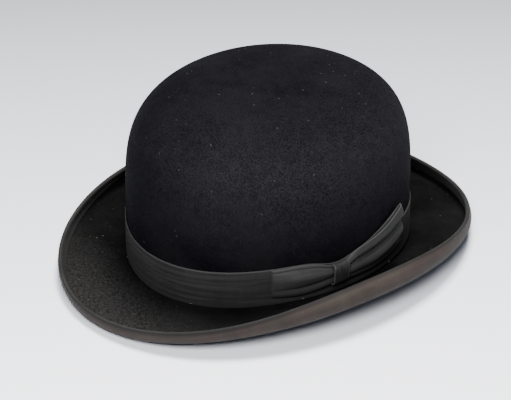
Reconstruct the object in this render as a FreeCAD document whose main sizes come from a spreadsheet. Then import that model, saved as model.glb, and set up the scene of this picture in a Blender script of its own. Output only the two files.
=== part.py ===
"""Bowler hat: a stiff felt body with a ribbon band and bow, a bound curled brim, a sweatband and a lining.

Frame: millimetres, +Z up, the front of the hat faces -Y and the wearer's left, with the bow, is +X.
The hat stands on z = 0, which it touches at the front and the back of the brim.

Every piece that goes round the head is a section carried round the head oval.  An angle of 0 is the
wearer's left, 90 degrees is the back and -90 degrees is the front.  "Out" is the distance from the
oval along its outward normal and "inset" is the distance inside it.
"""
import FreeCAD, Part
import Sketcher
import math
import os
from FreeCAD import Placement, Rotation, Vector

DRIVING_SIZES = [
    # head oval at the outside of the crown, and the dome
    ("head_half_width", 89.4),
    ("head_half_length", 101.5),
    ("crown_height", 128.0),
    ("dome_fullness", 6.3),
    ("felt_thick", 1.8),
    ("break_radius", 2.2),
    # brim: height of the break at the sides, then run, slope and curl at the side, front and back
    ("side_break_height", 13.6),
    ("run_side", 23.7),
    ("run_front", 44.5),
    ("run_back", 45.0),
    ("run_diagonal", -0.9),
    ("slope_side", 10.2),
    ("slope_front", -5.0),
    ("slope_back", -5.6),
    ("slope_diagonal", 1.6),
    ("curl_radius_side", 6.0),
    ("curl_radius_front", 6.0),
    ("curl_radius_back", 4.6),
    ("curl_end_side", 146.0),
    ("curl_end_front", 99.0),
    ("curl_end_back", 114.0),
    ("curl_end_diagonal", -22.0),
    ("lip_side", 3.4),
    ("lip_front", 1.0),
    ("lip_back", 4.6),
    # ribbons
    ("ribbon_thick", 0.45),
    ("ribbon_gap", 0.18),
    ("binding_inside", 8.4),
    ("binding_outside", 12.0),
    ("band_wide", 27.4),
    ("band_stand", 1.3),
    # how far the knot draws the band's top edge down, and the length over which it does so
    ("band_pinch", 5.6),
    ("band_pinch_reach", 16.0),
    # bow on the wearer's left
    ("knot_forward", 13.2),
    ("knot_wide", 8.6),
    ("knot_tall", 14.0),
    ("knot_deep", 5.4),
    ("knot_edge_round", 1.6),
    ("knot_up", 16.6),
    ("front_loop_long", 40.5),
    ("rear_fan_long", 56.0),
    ("bow_gap", 0.3),
    # inside
    ("leather_thick", 0.8),
    ("leather_tall", 44.0),
    ("leather_lean", 2.0),
    ("leather_turnup", 7.0),
    ("reed_radius", 1.0),
    ("reed_clear_of_break", 0.2),
    ("inner_gap", 0.25),
    ("lining_thick", 0.35),
    ("lining_start", 10.0),
    ("tip_seam_turn", 36.0),
    ("tip_seam_half_gap", 0.25),
    ("piping_radius", 0.9),
    ("joint_strip_wide", 6.0),
    ("joint_strip_tall", 34.0),
    ("joint_strip_up", 24.0),
    ("joint_strip_thick", 0.4),
    ("small_bow_wide", 19.0),
    ("small_bow_tall", 8.0),
    ("small_bow_thick", 1.4),
    ("small_bow_waist", 3.2),
    ("small_knot_wide", 4.0),
    ("small_knot_tall", 5.0),
    ("small_knot_thick", 2.2),
    ("small_bow_up", 14.0),
    ("ticket_wide", 14.0),
    ("ticket_tall", 10.0),
    ("ticket_thick", 0.25),
    ("ticket_up", 26.0),
    ("thread_radius", 0.22),
    ("stitch_long", 2.6),
    ("stitch_up", 5.4),
    ("stitch_count", 72),
    ("contact_gap", 0.12),
    ("tack_up", 1.0),
    ("tack_long", 2.0),
    ("tack_count", 8),
]

RING_POINTS = 48
ANGLES = [2 * math.pi * i / RING_POINTS for i in range(RING_POINTS)]
LEFT, BACK, RIGHT = 0.0, math.pi / 2, math.pi

doc = FreeCAD.newDocument("bowler_hat")
sheet = doc.addObject("Spreadsheet::Sheet", "sizes")
for row, (alias, value) in enumerate(DRIVING_SIZES, start=1):
    sheet.set(f"A{row}", alias)
    sheet.set(f"B{row}", str(value))
    sheet.setAlias(f"B{row}", alias)
doc.recompute()


def size(alias):
    return float(sheet.get(alias))


A, B = size("head_half_width"), size("head_half_length")
FELT = size("felt_thick")
RIBBON, GAP = size("ribbon_thick"), size("ribbon_gap")
# distance from the middle of the brim felt to the middle and to the outside of the binding
BINDING_MIDDLE = FELT / 2 + GAP + RIBBON / 2
BINDING_OUTSIDE = FELT / 2 + GAP + RIBBON
# faces that the bow and the band lie on, as distances outside the crown
BAND_FACE = GAP + RIBBON
BOW_BACK = BAND_FACE + size("bow_gap")
# faces inside the crown, as insets
LINING_INSET = FELT + size("inner_gap") + size("lining_thick") / 2
LEATHER = size("leather_thick")
TURNUP_INSET = LINING_INSET + size("lining_thick") / 2 + LEATHER / 2
REED_INSET = TURNUP_INSET + LEATHER / 2 + size("inner_gap") / 2 + size("reed_radius")
ROLL_RADIUS = REED_INSET - TURNUP_INSET
REED_UP = ROLL_RADIUS + LEATHER / 2 - FELT / 2 + size("reed_clear_of_break")


# ---------------------------------------------------------------- the oval and the brim line

def between(angle, side, front, back, diagonal=0.0):
    """A value that changes smoothly from the sides to the front and the back, plus a diagonal term."""
    end_share = math.sin(angle) ** 2
    end_value = front + (back - front) * (0.5 + 0.5 * math.sin(angle))
    return side * (1 - end_share) + end_value * end_share + diagonal * math.sin(2 * angle) ** 2


def standing_height(run, slope_degrees, curl_radius):
    """Height of the break where the brim falls from it and its binding just meets z = 0."""
    drop = math.radians(-slope_degrees)
    return BINDING_OUTSIDE + run * math.sin(drop) + curl_radius * (1 - math.cos(drop))


FRONT_BREAK = standing_height(size("run_front"), size("slope_front"), size("curl_radius_front"))
BACK_BREAK = standing_height(size("run_back"), size("slope_back"), size("curl_radius_back"))
CROWN_TOP = (size("side_break_height") + (FRONT_BREAK + BACK_BREAK) / 2) / 2 + size("crown_height")


def break_height(angle):
    return between(angle, size("side_break_height"), FRONT_BREAK, BACK_BREAK)


def outward(angle):
    normal = Vector(B * math.cos(angle), A * math.sin(angle), 0)
    return normal.normalize()


def place(angle, out, height):
    """The point at a distance outside the head oval and a height above the table."""
    on_oval = Vector(A * math.cos(angle), B * math.sin(angle), height)
    return on_oval + outward(angle) * out


def brim_line(angle):
    """Run, slope, curl radius, curl end angle and lip length of the brim's middle line at an angle."""
    run = between(angle, size("run_side"), size("run_front"), size("run_back"), size("run_diagonal"))
    slope = between(angle, size("slope_side"), size("slope_front"), size("slope_back"),
                    size("slope_diagonal"))
    radius = between(angle, size("curl_radius_side"), size("curl_radius_front"),
                     size("curl_radius_back"))
    end = between(angle, size("curl_end_side"), size("curl_end_front"), size("curl_end_back"),
                  size("curl_end_diagonal"))
    lip = between(angle, size("lip_side"), size("lip_front"), size("lip_back"))
    return run, math.radians(slope), radius, math.radians(end), lip


def brim_length(angle):
    run, slope, radius, end, lip = brim_line(angle)
    return run + radius * (end - slope) + lip


def on_brim(angle, along, lift):
    """The point `along` the brim's middle line from the break, lifted off it towards the top side."""
    run, slope, radius, end, lip = brim_line(angle)
    corner_out = run * math.cos(slope)
    corner_up = break_height(angle) + run * math.sin(slope)
    if along <= run:
        heading = slope
        out = along * math.cos(slope)
        up = break_height(angle) + along * math.sin(slope)
    else:
        heading = min(slope + (along - run) / radius, end)
        past_curl = max(along - run - radius * (end - slope), 0.0)
        out = corner_out + radius * (math.sin(heading) - math.sin(slope)) + past_curl * math.cos(end)
        up = corner_up + radius * (math.cos(slope) - math.cos(heading)) + past_curl * math.sin(end)
    return place(angle, out - lift * math.sin(heading), up + lift * math.cos(heading))


def round_brim_edge(angle, turn, lift):
    """The point on a half circle of radius `lift` about the brim's edge, from its top to its under side."""
    run, slope, radius, end, lip = brim_line(angle)
    edge = on_brim(angle, brim_length(angle), 0)
    heading = end - turn
    flat = outward(angle)
    return edge + flat * (-lift * math.sin(heading)) + Vector(0, 0, lift * math.cos(heading))


def on_crown(angle, turn, inset):
    """The point on the crown, `inset` inside it, at a turn of 0 at the break and 90 degrees on top."""
    spread = math.cos(turn)
    rise = math.sin(turn) ** (2 / size("dome_fullness")) if turn > 0 else 0.0
    return Vector((A - inset) * spread * math.cos(angle),
                  (B - inset) * spread * math.sin(angle),
                  break_height(angle) * (1 - rise) + (CROWN_TOP - inset) * rise)


def turn_at_rise(rise):
    """The turn at which the crown has risen by a share of its height."""
    return math.asin(rise ** (size("dome_fullness") / 2))


def angle_from(start, arc_length):
    """The angle reached from `start` by a length measured round the oval, positive towards the back."""
    steps = 60
    angle = start
    for _ in range(steps):
        speed = math.hypot(A * math.sin(angle), B * math.cos(angle))
        angle += arc_length / steps / speed
    return angle


# ---------------------------------------------------------------- surfaces and solids

def ring_curve(points):
    knots = [i / len(points) for i in range(len(points) + 1)]
    curve = Part.BSplineCurve()
    curve.interpolate(Points=points, PeriodicFlag=True, Parameters=knots)
    return curve


def skin(rings):
    """A smooth closed surface through rings of points, as a tensor product of their splines.

    The first ring may be a single point repeated, where the surface closes at a pole.
    """
    curves = [ring_curve(points) for points in rings[1:]]
    poles = [curve.getPoles() for curve in curves]
    closed_to_a_point = (rings[0][0] - rings[0][1]).Length < 1e-6
    poles.insert(0, [rings[0][0]] * len(poles[0]) if closed_to_a_point
                 else ring_curve(rings[0]).getPoles())
    around = curves[0]
    count = len(poles)
    if count == 2:
        grid, across_mults, across_knots, degree = poles, [2, 2], [0.0, 1.0], 1
    else:
        middle = [sum((p - q).Length for p, q in zip(poles[i], poles[i + 1])) for i in range(count - 1)]
        reach = [0.0]
        for step in middle:
            reach.append(reach[-1] + step)
        stations = [r / reach[-1] for r in reach]
        columns = []
        for j in range(len(poles[0])):
            column = Part.BSplineCurve()
            column.interpolate(Points=[row[j] for row in poles], Parameters=stations)
            columns.append(column)
        grid = [list(row) for row in zip(*[column.getPoles() for column in columns])]
        across_mults = columns[0].getMultiplicities()
        across_knots = columns[0].getKnots()
        degree = columns[0].Degree
    surface = Part.BSplineSurface()
    surface.buildFromPolesMultsKnots(grid, across_mults, around.getMultiplicities(), across_knots,
                                     around.getKnots(), False, True, degree, around.Degree)
    return surface.toShape()


def rings_of(stations, lift):
    return [[station(angle, lift) for angle in ANGLES] for station in stations]


def solid_from(faces):
    shell = Part.makeShell([face for part in faces for face in part.Faces])
    shell.sewShape()
    body = Part.makeSolid(shell if shell.ShapeType == "Shell" else shell.Shells[0])
    if body.Volume < 0:
        body.reverse()
    return body


def sheet_round(segments, thick, apex=False):
    """A sheet of even thickness whose section runs through the stations of each segment in turn.

    A station is a function of the angle and the lift off the middle surface.  With an apex the first
    station is a single point on top, and the sheet is closed there.
    """
    faces = []
    for lift in (thick / 2, -thick / 2):
        faces += [skin(rings_of(stations, lift)) for stations in segments]
    ends = [segments[-1][-1]] if apex else [segments[0][0], segments[-1][-1]]
    for station in ends:
        faces.append(skin(rings_of([station], thick / 2) + rings_of([station], -thick / 2)))
    return solid_from(faces)


def cord_round(centre, radius):
    """A round cord of a given radius along the closed line centre(angle)."""
    turns = [2 * math.pi * i / 12 for i in range(13)]
    rings = []
    for turn in turns:
        out, up = radius * math.cos(turn), radius * math.sin(turn)
        rings.append([centre(angle) + outward(angle) * out + Vector(0, 0, up) for angle in ANGLES])
    half = len(rings) // 2
    return solid_from([skin(rings[:half + 1]), skin(rings[half:])])


def pad_between(sections):
    """A soft body through closed sections, each a list of points, with a flat cap at either end."""
    faces = [skin(sections)]
    for points in (sections[0], sections[-1]):
        middle = sum(points, Vector()) * (1 / len(points))
        faces.append(skin([[middle] * len(points), points]))
    return solid_from(faces)


def brim_reach(angle):
    """How far along the hat the bound brim reaches from the middle of the oval."""
    length = brim_length(angle)
    return max(abs(on_brim(angle, length * i / 200, -BINDING_OUTSIDE).y) for i in range(201))


# the brim reaches further in front than behind, so the oval stands a little back of the frame's middle
TO_FRAME = Placement(Vector(0, (brim_reach(-BACK) - brim_reach(BACK)) / 2, 0), Rotation())


def add_feature(label, shape):
    feature = doc.addObject("Part::Feature", label)
    feature.Label = label
    feature.Shape = shape
    feature.Placement = TO_FRAME
    return feature


# ---------------------------------------------------------------- felt body

def break_station(turn):
    """Station on the round corner between the crown wall and the brim."""
    radius = size("break_radius")

    def station(angle, lift):
        slope = brim_line(angle)[1]
        out = radius - FELT / 2
        up = break_height(angle) + out * math.tan(slope) + radius / math.cos(slope)
        heading = math.pi + turn * (math.pi / 2 + slope)
        reach = radius - lift
        return place(angle, out + reach * math.cos(heading), up + reach * math.sin(heading))
    return station


def crown_station(turn, base_inset):
    return lambda angle, lift: on_crown(angle, turn, base_inset - lift)


def curl_station(share):
    """Station at a share of the way round the curl, from the end of the run to the start of the lip."""
    def station(angle, lift):
        run, slope, radius, end, lip = brim_line(angle)
        return on_brim(angle, run + share * radius * (end - slope), lift)
    return station


DOME_TURNS = [math.radians(degrees) for degrees in (90, 88, 84, 77, 68, 58, 48, 38, 28, 18, 9)]
LOW_RISES = (0.36, 0.2, 0.08)
CROWN_TURNS = DOME_TURNS + [turn_at_rise(rise) for rise in LOW_RISES]


def felt_body():
    crown = [crown_station(turn, FELT / 2) for turn in CROWN_TURNS]
    corner = [break_station(turn) for turn in (0.0, 0.33, 0.67, 1.0)]
    crown.append(corner[0])
    run = [corner[-1], lambda angle, lift: on_brim(angle, brim_line(angle)[0], lift)]
    curl = [curl_station(i / 6) for i in range(7)]
    lip = [curl[-1], lambda angle, lift: on_brim(angle, brim_length(angle), lift)]
    return sheet_round([crown, corner, run, curl, lip], FELT, apex=True)


add_feature("felt_body", felt_body())


# ---------------------------------------------------------------- ribbons

def binding_leg(side, from_edge):
    """Station on the binding's top leg (side 1) or under leg (side -1), a length in from the edge."""
    def station(angle, lift):
        return on_brim(angle, brim_length(angle) - from_edge, side * (BINDING_MIDDLE + lift))
    return station


def brim_binding():
    inside, outside = size("binding_inside"), size("binding_outside")
    top = [binding_leg(1, inside * (1 - i / 4)) for i in range(5)]
    fold = [lambda angle, lift, turn=math.pi * i / 4: round_brim_edge(angle, turn, BINDING_MIDDLE + lift)
            for i in range(5)]
    under = [binding_leg(-1, outside * i / 6) for i in range(7)]
    return sheet_round([top, fold, under], RIBBON)


KNOT_ANGLE = angle_from(LEFT, -size("knot_forward"))
BAND_FOOT = FELT / 2 + size("band_stand")


def band_station(share):
    """Station at a share of the band's height, its top edge drawn down where the knot pinches it."""
    middle = GAP + RIBBON / 2

    def station(angle, lift):
        from_knot = math.remainder(angle - KNOT_ANGLE, 2 * math.pi) * B
        pinch = size("band_pinch") * math.exp(-(from_knot / size("band_pinch_reach")) ** 2)
        up = share * (size("band_wide") - pinch)
        return place(angle, middle + lift, break_height(angle) + BAND_FOOT + up)
    return station


add_feature("brim_binding", brim_binding())
add_feature("hat_band", sheet_round([[band_station(0), band_station(1)]], RIBBON))


# ---------------------------------------------------------------- bow

KNOT_SIDE = size("knot_wide") / 2 + size("bow_gap")
# the loop and the fan are squeezed to a little less than the height of the knot where they meet it
SQUEEZE = 1.2
KNOT_LOW = size("knot_up") - size("knot_tall") / 2 + SQUEEZE
KNOT_HIGH = size("knot_up") + size("knot_tall") / 2 - SQUEEZE


def bow_section(top_angle, low_angle, low, high, back, front):
    """A closed flat oval between a low and a high edge, from a back face to a front face."""
    points = []
    count = 14
    for i in range(count):
        turn = 2 * math.pi * i / count
        flat, tall = math.cos(turn), math.sin(turn)
        share = 0.5 + 0.5 * math.copysign(abs(tall) ** 0.7, tall)
        angle = low_angle + (top_angle - low_angle) * share
        out = (back + front) / 2 + (front - back) / 2 * math.copysign(abs(flat) ** 0.8, flat)
        up = low + (high - low) * share
        points.append(place(angle, out, break_height(angle) + BAND_FOOT + up))
    return points


def bow_part(rows, direction, length):
    """A bow piece from rows of share of its length at the top and low edge, low, high, back, front."""
    sections = []
    for top_share, low_share, low, high, back, front in rows:
        top_angle = angle_from(KNOT_ANGLE, direction * (KNOT_SIDE + top_share * length))
        low_angle = angle_from(KNOT_ANGLE, direction * (KNOT_SIDE + low_share * length))
        sections.append(bow_section(top_angle, low_angle, low, high, BOW_BACK + back, BOW_BACK + front))
    return pad_between(sections)


FRONT_LOOP_ROWS = [
    (0.00, 0.00, KNOT_LOW, KNOT_HIGH, 0.0, 3.0),
    (0.15, 0.15, 8.0, 23.4, 0.0, 4.3),
    (0.40, 0.40, 6.4, 26.2, 0.0, 5.0),
    (0.70, 0.70, 6.4, 27.6, 0.0, 4.4),
    (0.92, 0.92, 7.0, 27.4, 0.0, 3.0),
    (1.00, 0.97, 7.4, 27.0, 0.0, 2.0),
]
REAR_FAN_ROWS = [
    (0.00, 0.00, KNOT_LOW, KNOT_HIGH, 0.0, 3.2),
    (0.10, 0.11, 6.8, 25.2, 0.0, 4.4),
    (0.22, 0.24, 4.8, 28.8, 0.0, 5.2),
    (0.42, 0.46, 4.2, 31.8, 0.2, 5.6),
    (0.62, 0.70, 4.8, 34.4, 0.8, 5.8),
    (0.80, 0.92, 6.4, 38.4, 1.8, 6.0),
    (0.93, 1.08, 8.0, 42.8, 2.6, 5.8),
]
add_feature("bow_front_loop", bow_part(FRONT_LOOP_ROWS, -1, size("front_loop_long")))
add_feature("bow_rear_fan", bow_part(REAR_FAN_ROWS, 1, size("rear_fan_long")))


def origin_plane(body, role):
    return next(item for item in body.Origin.OriginFeatures if item.Role == role)


def outline_sketch(body, name, corners):
    """A closed outline on the body's own XY plane.

    A corner is an (across, up) pair, each a factor and the cell of the sheet that it multiplies.
    """
    sketch = body.newObject("Sketcher::SketchObject", name)
    sketch.AttachmentSupport = [(origin_plane(body, "XY_Plane"), "")]
    sketch.MapMode = "FlatFace"
    points = [Vector(across[0] * size(across[1]), up[0] * size(up[1]), 0) for across, up in corners]
    for i, point in enumerate(points):
        sketch.addGeometry(Part.LineSegment(point, points[(i + 1) % len(points)]), False)
    for i in range(len(points)):
        sketch.addConstraint(Sketcher.Constraint("Coincident", i, 2, (i + 1) % len(points), 1))
    for i, corner in enumerate(corners):
        for kind, (factor, alias) in zip(("DistanceX", "DistanceY"), corner):
            if factor == 0:
                continue
            index = sketch.addConstraint(Sketcher.Constraint(kind, -1, 1, i, 1, factor * size(alias)))
            sketch.setExpression(f"Constraints[{index}]", f"{factor} * sizes.{alias}")
    return sketch


def block_corners(wide, tall):
    return [((x, wide), (y, tall)) for x, y in ((-0.5, -0.5), (0.5, -0.5), (0.5, 0.5), (-0.5, 0.5))]


def add_pad(body, name, sketch, thick):
    pad = body.newObject("PartDesign::Pad", name)
    pad.Profile = sketch
    pad.setExpression("Length", f"sizes.{thick}")
    return pad


def facing(angle, out, height, inward=False, lean=0.0):
    """Placement with local X along the oval, local Y up and local Z out of, or into, the hat."""
    normal = outward(angle) * (-1 if inward else 1)
    along = Vector(0, 0, 1).cross(normal)
    turn = Rotation(along, Vector(0, 0, 1), normal, "ZXY")
    tilt = Rotation(Vector(1, 0, 0), lean)
    return Placement(place(angle, out, height), turn.multiply(tilt))


def bow_knot():
    body = doc.addObject("PartDesign::Body", "bow_knot")
    body.Label = "bow_knot"
    sketch = outline_sketch(body, "knot_outline", block_corners("knot_wide", "knot_tall"))
    pad = add_pad(body, "knot_pad", sketch, "knot_deep")
    doc.recompute()
    edges = [f"Edge{i + 1}" for i, edge in enumerate(pad.Shape.Edges)
             if edge.CenterOfMass.z > size("knot_deep") / 4]
    rounding = body.newObject("PartDesign::Fillet", "knot_rounding")
    rounding.Base = (pad, edges)
    rounding.setExpression("Radius", "sizes.knot_edge_round")
    height = break_height(KNOT_ANGLE) + BAND_FOOT + size("knot_up")
    body.Placement = TO_FRAME.multiply(facing(KNOT_ANGLE, BOW_BACK, height))


bow_knot()


# ---------------------------------------------------------------- sweatband and what is sewn to it

def leather_point(along):
    """Inset and height of the sweatband's middle line: 0 at its top edge, 1 at the start of its roll."""
    foot_inset = REED_INSET + ROLL_RADIUS
    inset = foot_inset - size("leather_lean") * (1 - along)
    return inset, REED_UP + (size("leather_tall") - REED_UP) * (1 - along)


def leather_lean():
    """Angle by which the sweatband leans out towards the felt."""
    return math.atan2(size("leather_lean"), size("leather_tall") - REED_UP)


def leather_wall(along):
    """Station on the leaning wall.  A positive lift is towards the felt."""
    tilt = leather_lean()

    def station(angle, lift):
        inset, up = leather_point(along)
        return place(angle, lift * math.cos(tilt) - inset, break_height(angle) + up - lift * math.sin(tilt))
    return station


def leather_roll(share):
    """Station on the roll round the reed, from the foot of the wall to the turned-up edge."""
    tilt = leather_lean()

    def station(angle, lift):
        heading = -tilt * (1 - share) - math.pi * share
        reach = ROLL_RADIUS - lift
        out = -REED_INSET - reach * math.cos(heading)
        return place(angle, out, break_height(angle) + REED_UP + reach * math.sin(heading))
    return station


def leather_turnup(share):
    """Station on the edge turned up between the reed and the felt."""
    rise = share * size("leather_turnup")
    return lambda angle, lift: place(angle, -TURNUP_INSET - lift, break_height(angle) + REED_UP + rise)


def sweatband():
    wall = [leather_wall(0), leather_wall(0.5), leather_wall(0.9)]
    roll = [leather_roll(i / 6) for i in range(7)]
    turnup = [roll[-1], leather_turnup(1)]
    return sheet_round([wall, [wall[-1], roll[0]], roll, turnup], LEATHER)


def reed_line(angle):
    return place(angle, -REED_INSET, break_height(angle) + REED_UP)


add_feature("sweatband", sweatband())
add_feature("sweatband_reed", cord_round(reed_line, size("reed_radius")))


def on_leather(angle, up, clear):
    """Placement on the sweatband's face towards the head, at a height above the break."""
    along = 1 - (up - REED_UP) / (size("leather_tall") - REED_UP)
    inset, height = leather_point(along)
    out = -(inset + LEATHER / 2 + clear)
    lean = -math.degrees(leather_lean())
    return facing(angle, out, break_height(angle) + height, inward=True, lean=lean)


def sagitta(wide, angle):
    """How far a flat piece of a given width stands off the curved leather in its middle."""
    speed = math.hypot(A * math.sin(angle), B * math.cos(angle))
    curve_radius = speed ** 3 / (A * B)
    return (wide / 2) ** 2 / (2 * curve_radius)


STRIP_CLEAR = sagitta(size("joint_strip_wide"), BACK) + size("contact_gap")
STRIP_FACE = STRIP_CLEAR + size("joint_strip_thick")
SMALL_BOW_CLEAR = max(sagitta(size("small_bow_wide"), BACK), STRIP_FACE) + size("contact_gap")
TICKET_CLEAR = sagitta(size("ticket_wide"), RIGHT) + size("contact_gap")


def flat_piece(label, angle, wide, tall, thick, up, clear):
    """A flat rectangular piece lying on the sweatband, its box tied to the sheet."""
    box = doc.addObject("Part::Box", label)
    box.Label = label
    box.setExpression("Length", f"sizes.{wide}")
    box.setExpression("Width", f"sizes.{tall}")
    box.setExpression("Height", f"sizes.{thick}")
    corner = Placement(Vector(-size(wide) / 2, -size(tall) / 2, 0), Rotation())
    box.Placement = TO_FRAME.multiply(on_leather(angle, size(up), clear)).multiply(corner)


def sweatband_bow():
    body = doc.addObject("PartDesign::Body", "sweatband_bow")
    body.Label = "sweatband_bow"
    wide, tall, waist = "small_bow_wide", "small_bow_tall", "small_bow_waist"
    loops = [((-0.5, wide), (-0.5, tall)), ((0, wide), (-0.5, waist)), ((0.5, wide), (-0.5, tall)),
             ((0.5, wide), (0.5, tall)), ((0, wide), (0.5, waist)), ((-0.5, wide), (0.5, tall))]
    add_pad(body, "loops_pad", outline_sketch(body, "loops_outline", loops), "small_bow_thick")
    knot = block_corners("small_knot_wide", "small_knot_tall")
    add_pad(body, "small_knot_pad", outline_sketch(body, "small_knot_outline", knot), "small_knot_thick")
    body.Placement = TO_FRAME.multiply(on_leather(BACK, size("small_bow_up"), SMALL_BOW_CLEAR))


def thread_group(label, places, length):
    """Many short lengths of thread as one node, each along the local X of its place."""
    along_x = Rotation(Vector(0, 1, 0), 90)
    threads = []
    for i, where in enumerate(places):
        thread = doc.addObject("Part::Cylinder", f"{label}_{i + 1}")
        thread.setExpression("Radius", "sizes.thread_radius")
        thread.Height = length
        start = Placement(Vector(-length / 2, 0, 0), along_x)
        thread.Placement = TO_FRAME.multiply(where).multiply(start)
        threads.append(thread)
    group = doc.addObject("Part::Compound", label)
    group.Label = label
    group.Links = threads


def even_angles(count):
    """Angles at equal lengths round the oval, the first half a step from the back."""
    whole = round_length()
    return [angle_from(BACK, whole * (i + 0.5) / count) for i in range(count)]


def round_length():
    steps = 360
    return sum(math.hypot(A * math.sin(2 * math.pi * i / steps), B * math.cos(2 * math.pi * i / steps))
               for i in range(steps)) * 2 * math.pi / steps


def sweatband_stitches():
    clear = size("thread_radius") + size("contact_gap")
    angles = even_angles(int(size("stitch_count")))
    places = [on_leather(angle, size("stitch_up"), clear) for angle in angles]
    thread_group("sweatband_stitches", places, size("stitch_long"))


def band_tacks():
    """Short tacks of thread that lie on the band just above its lower edge."""
    out = BAND_FACE + size("thread_radius") + size("contact_gap")
    places = [facing(angle, out, break_height(angle) + BAND_FOOT + size("tack_up"))
              for angle in even_angles(int(size("tack_count")))]
    thread_group("band_tacks", places, size("tack_long"))


flat_piece("sweatband_joint_strip", BACK, "joint_strip_wide", "joint_strip_tall", "joint_strip_thick",
           "joint_strip_up", STRIP_CLEAR)
flat_piece("size_ticket", RIGHT, "ticket_wide", "ticket_tall", "ticket_thick", "ticket_up", TICKET_CLEAR)
sweatband_bow()
sweatband_stitches()
band_tacks()


# ---------------------------------------------------------------- lining

SEAM = math.radians(size("tip_seam_turn"))
HALF_SEAM = math.radians(size("tip_seam_half_gap"))


def lining_side():
    low = turn_at_rise(size("lining_start") / size("crown_height"))
    turns = [low] + [turn_at_rise(rise) for rise in reversed(LOW_RISES[:2])]
    turns += [turn for turn in reversed(DOME_TURNS) if turn < SEAM - HALF_SEAM] + [SEAM - HALF_SEAM]
    stations = [crown_station(turn, LINING_INSET) for turn in turns]
    return sheet_round([stations], size("lining_thick"))


def lining_tip():
    turns = [turn for turn in DOME_TURNS if turn > SEAM + HALF_SEAM] + [SEAM + HALF_SEAM]
    stations = [crown_station(turn, LINING_INSET) for turn in turns]
    return sheet_round([stations], size("lining_thick"), apex=True)


def piping_line(angle):
    inset = LINING_INSET + size("lining_thick") / 2 + size("piping_radius") + size("contact_gap")
    return on_crown(angle, SEAM, inset)


add_feature("lining_side", lining_side())
add_feature("lining_tip", lining_tip())
add_feature("lining_piping", cord_round(piping_line, size("piping_radius")))


# ---------------------------------------------------------------- check and write every piece

NODES = ["felt_body", "brim_binding", "hat_band", "bow_front_loop", "bow_rear_fan", "bow_knot",
         "band_tacks", "sweatband", "sweatband_reed", "sweatband_stitches", "sweatband_joint_strip",
         "sweatband_bow", "lining_side", "lining_tip", "lining_piping", "size_ticket"]

doc.recompute()
for item in doc.Objects:
    if "Invalid" in item.State or "Error" in item.State:
        raise RuntimeError(f"{item.Label} failed: {item.State}")
os.makedirs("parts", exist_ok=True)
pieces = [doc.getObjectsByLabel(label)[0] for label in NODES]
for piece in pieces:
    if piece.Shape.isNull() or not piece.Shape.isValid():
        raise RuntimeError(f"{piece.Label} has no valid shape")
for piece in pieces:
    piece.Shape.exportStep(f"parts/{piece.Label}.step")
    print(piece.Label, len(piece.Shape.Solids), round(piece.Shape.Volume, 1))
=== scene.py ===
import bmesh
import bpy
import numpy as np
from mathutils import Matrix, Vector


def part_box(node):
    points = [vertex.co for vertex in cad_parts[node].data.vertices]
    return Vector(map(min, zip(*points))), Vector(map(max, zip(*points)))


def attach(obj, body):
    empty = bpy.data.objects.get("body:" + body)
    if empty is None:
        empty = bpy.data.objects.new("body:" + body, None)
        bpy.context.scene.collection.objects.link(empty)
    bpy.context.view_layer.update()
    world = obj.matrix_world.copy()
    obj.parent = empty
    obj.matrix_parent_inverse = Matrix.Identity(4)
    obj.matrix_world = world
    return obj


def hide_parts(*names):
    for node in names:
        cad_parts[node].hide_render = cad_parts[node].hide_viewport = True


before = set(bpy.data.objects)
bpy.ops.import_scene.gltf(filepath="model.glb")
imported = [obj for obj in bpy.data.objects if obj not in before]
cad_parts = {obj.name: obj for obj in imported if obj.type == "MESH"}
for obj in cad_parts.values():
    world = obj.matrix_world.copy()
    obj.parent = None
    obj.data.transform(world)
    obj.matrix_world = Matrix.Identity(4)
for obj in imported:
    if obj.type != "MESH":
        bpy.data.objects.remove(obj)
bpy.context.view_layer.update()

# Felt body.  Crown and brim are one piece of stiffened wool felt, blocked over a form and ironed.
# The brim falls a little at the front and back, and is curled up tightly along both sides.
# Angles go round the head oval: 0 is the wearer's left, pi / 2 is the back.
FELT_THICK = 0.0018
BREAK_RADIUS = 0.0022
RIBBON_THICK = 0.00045
RIBBON_GAP = 0.00018
BAND_FACE = RIBBON_GAP + RIBBON_THICK
BINDING_OUTSIDE = FELT_THICK / 2 + RIBBON_GAP + RIBBON_THICK
BACK = np.pi / 2

band_low, band_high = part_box("hat_band")
HALF_WIDE = (band_high[0] - band_low[0]) / 2 - BAND_FACE
HALF_LONG = (band_high[1] - band_low[1]) / 2 - BAND_FACE
OVAL_MIDDLE = (band_high[1] + band_low[1]) / 2
CROWN_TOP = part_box("felt_body")[1][2]
DOME_FULLNESS = 6.3

# the brim's middle line at the sides, front and back, and what it gains between them
RUN = (0.0237, 0.0445, 0.0450, -0.0009)
SLOPE = np.radians((10.2, -5.0, -5.6, 1.6))
CURL_RADIUS = (0.0060, 0.0060, 0.0046, 0.0)
CURL_END = np.radians((146.0, 99.0, 114.0, -22.0))
LIP = (0.0034, 0.0010, 0.0046, 0.0)
SIDE_BREAK = 0.0136


def between(angle, side, front, back, diagonal=0.0):
    """Side value times cos squared plus end value times sin squared, plus a share of sin squared of 2a."""
    end_share = np.sin(angle) ** 2
    end_value = front + (back - front) * (0.5 + 0.5 * np.sin(angle))
    return side * (1 - end_share) + end_value * end_share + diagonal * np.sin(2 * angle) ** 2


def standing_height(place):
    """Break height at which the falling brim's binding just meets the table."""
    drop = -SLOPE[place]
    return BINDING_OUTSIDE + RUN[place] * np.sin(drop) + CURL_RADIUS[place] * (1 - np.cos(drop))


FRONT_BREAK, BACK_BREAK = standing_height(1), standing_height(2)


def break_height(angle):
    """Height of the line where the crown meets the brim, blended round the hat like the brim's own sizes."""
    return between(angle, SIDE_BREAK, FRONT_BREAK, BACK_BREAK)


def squared_off(wave, power):
    """A sine or cosine made squarer by a power under 1, with its sign kept."""
    return np.sign(wave) * np.abs(wave) ** power


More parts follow.
